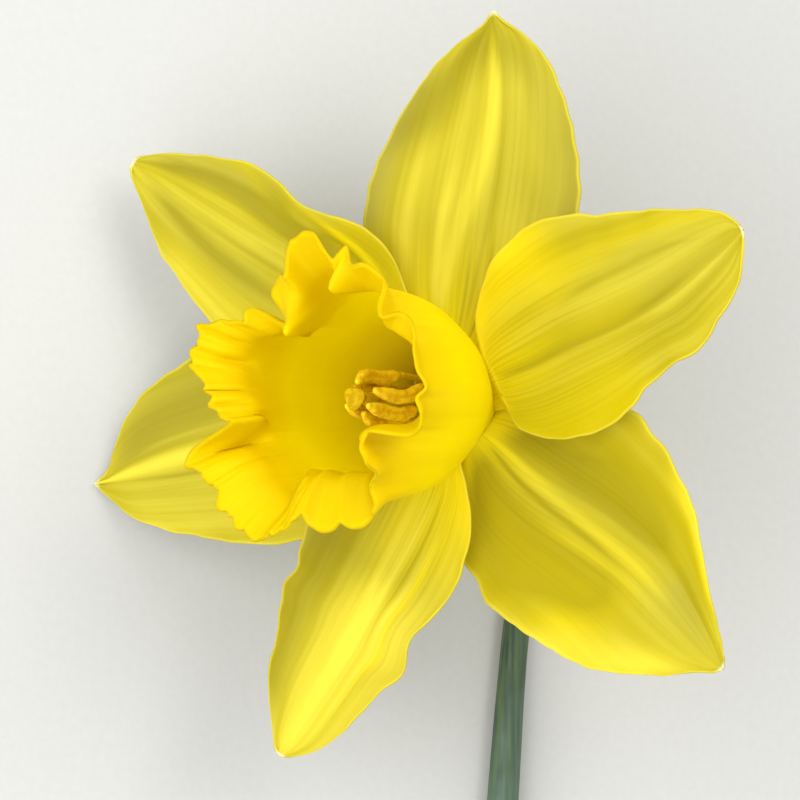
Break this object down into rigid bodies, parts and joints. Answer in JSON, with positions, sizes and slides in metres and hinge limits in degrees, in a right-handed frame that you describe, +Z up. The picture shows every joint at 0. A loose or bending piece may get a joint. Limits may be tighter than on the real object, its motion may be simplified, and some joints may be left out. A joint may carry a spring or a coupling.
{
  "type": "daffodil flower",
  "caption": "Cut trumpet daffodil lying on its stem: yellow petals round a long frilled trumpet with stamens, green stem and papery sheath.",
  "frame": {"origin": "on the surface that the flower lies on, under the middle of its overall box", "axes": "+Z up from the surface; the stem lies along -Y with its cut end farthest out; the bloom faces up and to -X"},
  "size_m": [0.0702, 0.2003, 0.0741],
  "materials": {
    "petal_yellow": "satin",
    "trumpet_yellow": "satin",
    "tube_green_yellow": "satin",
    "stem_green": "satin",
    "sheath_papery": "matte",
    "filament_yellow": "satin",
    "anther_gold": "matte",
    "stigma_pale": "satin"
  },
  "bodies": {
    "root": {"scape": "stem_green", "pedicel": "stem_green", "ovary": "stem_green", "spathe": "sheath_papery", "perianth_tube": "tube_green_yellow", "corona": "trumpet_yellow", "petal_outer_top": "petal_yellow", "petal_outer_lower_right": "petal_yellow", "petal_outer_left": "petal_yellow", "petal_inner_upper_right": "petal_yellow", "petal_inner_bottom": "petal_yellow", "petal_inner_upper_left": "petal_yellow", "filament_1": "filament_yellow", "filament_2": "filament_yellow", "filament_3": "filament_yellow", "filament_4": "filament_yellow", "filament_5": "filament_yellow", "filament_6": "filament_yellow", "anther_1": "anther_gold", "anther_2": "anther_gold", "anther_3": "anther_gold", "anther_4": "anther_gold", "anther_5": "anther_gold", "anther_6": "anther_gold", "style": "filament_yellow", "stigma": "stigma_pale"}
  },
  "joints": []
}
